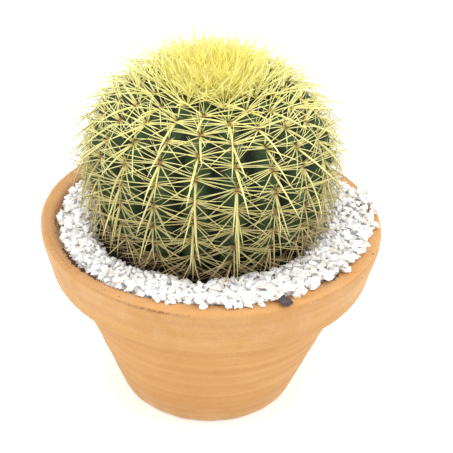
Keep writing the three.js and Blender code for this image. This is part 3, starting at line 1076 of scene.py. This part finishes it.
def make_flake():
    """A split flake of bark: a thin slab of fibres with ragged ends, tilted over the stones."""
    middle, _ = cad_place("bark_flake")
    length, width, thickness = 19, 12, 1.8
    outline = np.array(
        [(-0.5, 0.12), (-0.3, -0.18), (-0.1, -0.4), (0.05, -0.36), (0.22, -0.5), (0.42, -0.3)]
        + [(0.5, -0.05), (0.38, 0.2), (0.3, 0.42), (0.12, 0.36), (0.02, 0.5), (-0.12, 0.2)]
        + [(-0.3, 0.24)]
    )
    around = len(outline)
    rings = []
    for share, lift in [(1.0, -0.5), (1.05, -0.1), (0.98, 0.35), (0.6, 0.5), (0.2, 0.42)]:
        flat = outline * [length * share, width * share]
        ring = np.column_stack([flat, np.full(around, thickness * lift)])
        ring[:, 2] += 0.5 * fractal(ring * [1, 3, 1] + 5, 6, 2)
        rings.append(ring)
    yaw = Matrix.Rotation(math.radians(-65), 3, "Z")
    roll = Matrix.Rotation(math.radians(-12), 3, "X")
    points = np.concatenate(rings) @ np.array(yaw @ roll).T
    points += middle - (points.max(0) + points.min(0)) / 2
    faces = [ring_quads(len(rings), around), end_caps(len(rings), around)]
    flake = add_piece("bark_sliver", points, faces, BARK, smooth=False)
    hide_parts("bark_flake")


# Clumps of soil on the rim: the middle and the width in degrees, the distance from the rim's
# inner edge, how many grains, and the size of the largest.
CLUMPS = [
    (-150, 5, 1.6, 26, 2.0), (-144, 4, 1.5, 34, 2.9), (-138, 3, 1.4, 26, 3.2),
    (-132, 3, 1.2, 20, 2.4), (-122, 5, 1.0, 14, 1.2), (-160, 6, 2.0, 14, 1.2),
    (-172, 5, 1.2, 12, 1.4), (-108, 5, 0.8, 8, 1.2), (-41, 3, 3.6, 26, 2.4),
    (-45, 2, 1.6, 14, 2.0), (-26, 2, 1.6, 8, 2.2), (-20, 1.5, 2.4, 7, 2.4),
    (-76, 3, 2.4, 6, 1.2), (2, 2, 6.0, 9, 2.0), (17, 1.5, 5.0, 6, 1.6),
    (95, 20, 2.0, 16, 1.4), (150, 14, 4.0, 14, 1.2), (60, 12, 3.0, 8, 1.2),
]


def make_rim_dirt(heap):
    """Soil that has caught on the rim: grains by its inner edge, thickest at the front left."""
    random = np.random.default_rng(17)
    shapes = chip_shapes(10, random)
    grains = Cluster()
    for degrees, width, out, count, coarse in CLUMPS:
        for _ in range(count):
            angle = math.radians(random.normal(degrees, width / 2))
            size = coarse * (0.35 + 0.65 * random.random() ** 2)
            spots, triangles = random_chip(shapes, random, size)
            radius = wall_radius(angle) + max(1.2, out + random.normal(0, 0.9))
            centre = polar(radius, angle, POT_HEIGHT - 0.1 + 0.25 * size) - [POT_LEAN, 0, 0]
            grains.add(spots + centre, triangles)
    # A few larger crumbs lie about on the stones.
    for _ in range(LOOSE_GRAINS):
        angle = random.uniform(0, 2 * np.pi)
        radius = random.uniform(90, 124)
        size = random.uniform(0.9, 2.4)
        spots, triangles = random_chip(shapes, random, size)
        x, y = radius * math.cos(angle), radius * math.sin(angle)
        height = heap.rest(x, y, 0.5 * size, 0.3 * size)[0]
        grains.add(spots + [x, y, height], triangles)
    dirt = grains.piece("rim_dirt", DRY_SOIL)


def make_litter():
    """A twig and a straw on the stones: crooked stalks, thinner towards one end."""
    steps, sides = 10, 8
    for name, start, end, width in [
        ("twig", (123.0, 2.4, 163.0), (133.6, 10.4, 165.0), 1.5),
        ("twig_fork", (128.2, 6.8, 164.2), (128.6, 9.2, 170.0), 0.9),
        ("straw", (121.5, -43.5, 158.2), (128.5, -51.5, 160.4), 1.0),
    ]:
        start, end = np.array(start), np.array(end)
        along = np.linspace(0, 1, steps)[:, None]
        centres = start + along * (end - start)
        crooks = [fractal(centres + offset, 3.5, 2) for offset in (0, 40, 80)]
        centres += 0.9 * np.column_stack(crooks)
        heading = unit(end - start)
        side = unit(np.cross(heading, [0, 0, 1]))
        turn = full_turn(sides)[:, None]
        circle = np.cos(turn) * side + np.sin(turn) * np.cross(side, heading)
        radius = 0.5 * width * (1 - 0.45 * along) * (1 + 0.2 * np.sin(along * 17))
        points = (centres[:, None] + radius[:, :, None] * circle).reshape(-1, 3)
        faces = [ring_quads(steps, sides), end_caps(steps, sides)]
        stalk = add_piece(name, points, faces, STRAW)


# ---- Stage ----

# Lamps: name, place in metres, width in metres and power in watts.
LAMPS = [
    ("key", (0.0, -0.1, 2.2), 2.4, 17),
    ("left", (-1.6, -0.4, 1.3), 1.4, 11.5),
    ("right", (1.6, -0.3, 1.5), 1.4, 13.5),
]
LAMPS_AIM = Vector((0, 0, 0.16))
WORLD_STRENGTH = 1.15
FLOOR_HALF = 6.0
CAMERA_PLACE = (0, -0.9295, 0.7469)
CAMERA_RIGHT = Vector((0.9992, 0.0116, 0.0373))
CAMERA_UP = Vector((-0.0376, 0.5416, 0.8398))
CAMERA_LENS = 106.5


def make_stage():
    floor = add_floor()
    world = bpy.data.worlds.new("studio")
    world.use_nodes = True
    background = world.node_tree.nodes["Background"]
    background.inputs["Color"].default_value = (1.0, 1.0, 1.0, 1.0)
    background.inputs["Strength"].default_value = WORLD_STRENGTH
    bpy.context.scene.world = world
    for name, place, size, power in LAMPS:
        light = bpy.data.lights.new(name, "AREA")
        light.shape = "DISK"
        light.size = size
        light.energy = power
        lamp = bpy.data.objects.new(name, light)
        lamp.location = place
        aim = LAMPS_AIM - Vector(place)
        lamp.rotation_euler = aim.to_track_quat("-Z", "Y").to_euler()
        bpy.context.scene.collection.objects.link(lamp)


def add_floor():
    mesh = bpy.data.meshes.new("floor")
    square = [(-1, -1), (1, -1), (1, 1), (-1, 1)]
    corners = [(x * FLOOR_HALF, y * FLOOR_HALF, 0) for x, y in square]
    mesh.from_pydata(corners, [], [(0, 1, 2, 3)])
    look = Look("pale_floor", 0.9, Emission_Color=(1, 1, 1, 1), Emission_Strength=0.2)
    mesh.materials.append(look.finish((0.93, 0.93, 0.93, 1.0)))
    floor = bpy.data.objects.new("floor", mesh)
    bpy.context.scene.collection.objects.link(floor)
    return floor


def add_camera():
    camera = bpy.data.cameras.new("camera")
    camera.sensor_width = 36
    camera.lens = CAMERA_LENS
    holder = bpy.data.objects.new("camera", camera)
    back = CAMERA_RIGHT.cross(CAMERA_UP)
    turn = Matrix((CAMERA_RIGHT, CAMERA_UP, back)).transposed()
    holder.matrix_world = Matrix.Translation(CAMERA_PLACE) @ turn.to_4x4()
    bpy.context.scene.collection.objects.link(holder)
    bpy.context.scene.camera = holder


make_pot()
make_soil()
make_soil_crumbs()
stones_heap = make_stones()
make_stem()
make_areoles()
for rib in range(RIBS):
    make_rib_spines(rib)
make_crown()
make_flake()
make_rim_dirt(stones_heap)
make_litter()
make_stage()
add_camera()

bpy.context.scene.view_settings.view_transform = "Standard"
